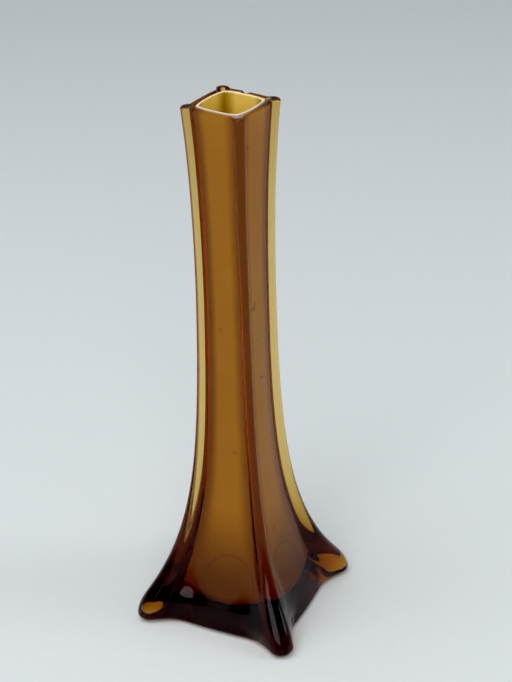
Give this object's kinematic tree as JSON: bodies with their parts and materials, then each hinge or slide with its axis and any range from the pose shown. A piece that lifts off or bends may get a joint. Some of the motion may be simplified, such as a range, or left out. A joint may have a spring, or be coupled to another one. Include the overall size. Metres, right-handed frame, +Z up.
{
  "type": "bud vase",
  "caption": "Tall square bud vase of cased amber glass, with a rib at each corner that runs out into a rounded toe, and a thin opal lining.",
  "frame": {"origin": "on the table under the middle of the foot, level with the flats of the four toes", "axes": "+Z runs up the stem to the mouth. At the foot the panels face +X, -X, +Y and -Y and the toes lie on the diagonals; the mouth is turned back by 9.4 degrees"},
  "size_m": [0.0726, 0.0726, 0.23],
  "materials": {
    "amber_glass": "clear amber, fire polished",
    "opal_glass": "translucent opal, smooth"
  },
  "bodies": {
    "root": {"amber_casing": "amber_glass", "opal_lining": "opal_glass"}
  },
  "joints": []
}
